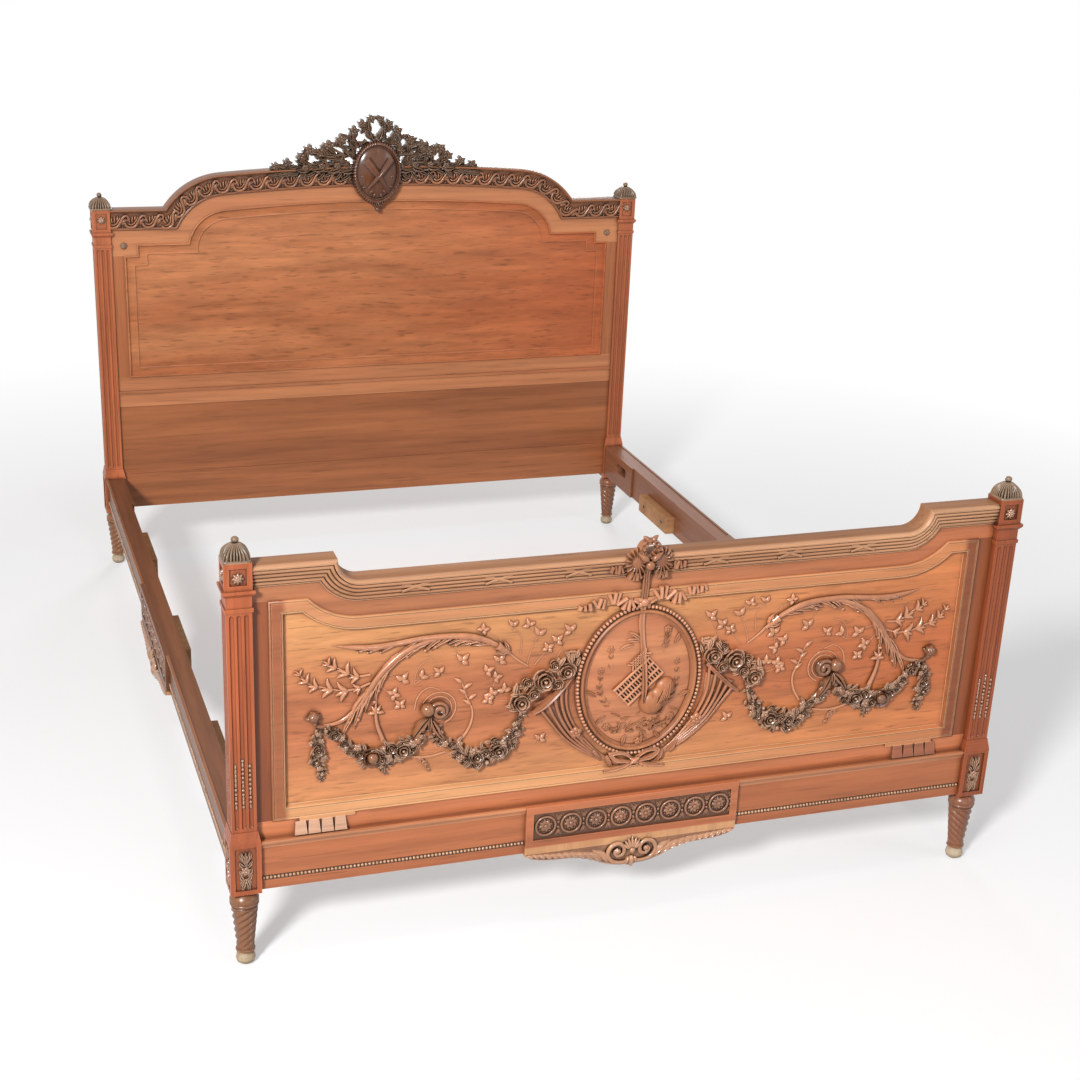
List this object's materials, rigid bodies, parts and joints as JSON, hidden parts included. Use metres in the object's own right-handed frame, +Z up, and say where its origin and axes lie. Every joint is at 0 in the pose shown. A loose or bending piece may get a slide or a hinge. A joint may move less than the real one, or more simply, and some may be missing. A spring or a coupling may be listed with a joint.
{
  "type": "carved wooden bed",
  "caption": "Carved walnut double bed with fluted posts, arched pierced crest, festooned footboard and screwed side rails.",
  "frame": {"origin": "on the floor under the middle of the bed", "axes": "+X across the bed to the right seen from its foot, +Y along it towards the head, +Z up"},
  "size_m": [1.5, 2.061, 1.2065],
  "materials": {
    "walnut": "satin",
    "walnut_patina": "satin",
    "pale_banding": "satin",
    "worn_feet": "matte",
    "iron": "matte"
  },
  "bodies": {
    "bed": {"ball_feet": "worn_feet", "cleat_screws": "iron", "foot_apron": "walnut", "foot_bottom_rail": "walnut", "foot_bow": "walnut_patina", "foot_carving_left": "walnut_patina", "foot_carving_right": "walnut_patina", "foot_cornice": "walnut", "foot_finial_left": "walnut_patina", "foot_finial_right": "walnut_patina", "foot_guttae": "walnut", "foot_leg_left": "walnut", "foot_leg_right": "walnut", "foot_medallion_field": "walnut", "foot_medallion_frame": "walnut", "foot_mouldings": "walnut", "foot_panel": "walnut", "foot_panel_border": "pale_banding", "foot_post_left": "walnut", "foot_post_right": "walnut", "foot_stile_left": "walnut", "foot_stile_right": "walnut", "foot_tablet": "walnut", "foot_top_rail": "walnut", "head_bottom_rail": "walnut", "head_cartouche": "walnut_patina", "head_corner_rosettes": "walnut_patina", "head_crest_carving": "walnut_patina", "head_crest_rail": "walnut", "head_finial_left": "walnut_patina", "head_finial_right": "walnut_patina", "head_leg_left": "walnut", "head_leg_right": "walnut", "head_lower_panel": "walnut", "head_middle_moulding": "walnut", "head_middle_rail": "walnut", "head_panel": "walnut", "head_panel_moulding": "pale_banding", "head_post_left": "walnut", "head_post_right": "walnut", "head_stile_left": "walnut", "head_stile_right": "walnut", "head_top_rail": "pale_banding", "post_nut_plates": "iron", "post_rosettes": "walnut_patina", "rail_apron_left": "walnut", "rail_apron_right": "walnut", "rail_cleats": "walnut", "rail_end_blocks": "walnut", "rail_mouldings_left": "walnut", "rail_mouldings_right": "walnut", "rail_tablet_left": "walnut", "rail_tablet_right": "walnut", "side_rail_left": "walnut", "side_rail_right": "walnut"},
    "bed_screw_foot_left": {"bed_screw_foot_left": "iron"},
    "bed_screw_foot_right": {"bed_screw_foot_right": "iron"},
    "bed_screw_head_left": {"bed_screw_head_left": "iron"},
    "bed_screw_head_right": {"bed_screw_head_right": "iron"}
  },
  "joints": [
    {"name": "bed_screw_foot_left_turn", "type": "hinge", "parent": "bed", "child": "bed_screw_foot_left", "pos_m": [-0.722, -0.8722, 0.217], "axis": [0, -1, 0], "continuous": true},
    {"name": "bed_screw_foot_right_turn", "type": "hinge", "parent": "bed", "child": "bed_screw_foot_right", "pos_m": [0.722, -0.8722, 0.217], "axis": [0, -1, 0], "continuous": true},
    {"name": "bed_screw_head_left_turn", "type": "hinge", "parent": "bed", "child": "bed_screw_head_left", "pos_m": [-0.722, 0.8722, 0.217], "axis": [0, 1, 0], "continuous": true},
    {"name": "bed_screw_head_right_turn", "type": "hinge", "parent": "bed", "child": "bed_screw_head_right", "pos_m": [0.722, 0.8722, 0.217], "axis": [0, 1, 0], "continuous": true}
  ]
}
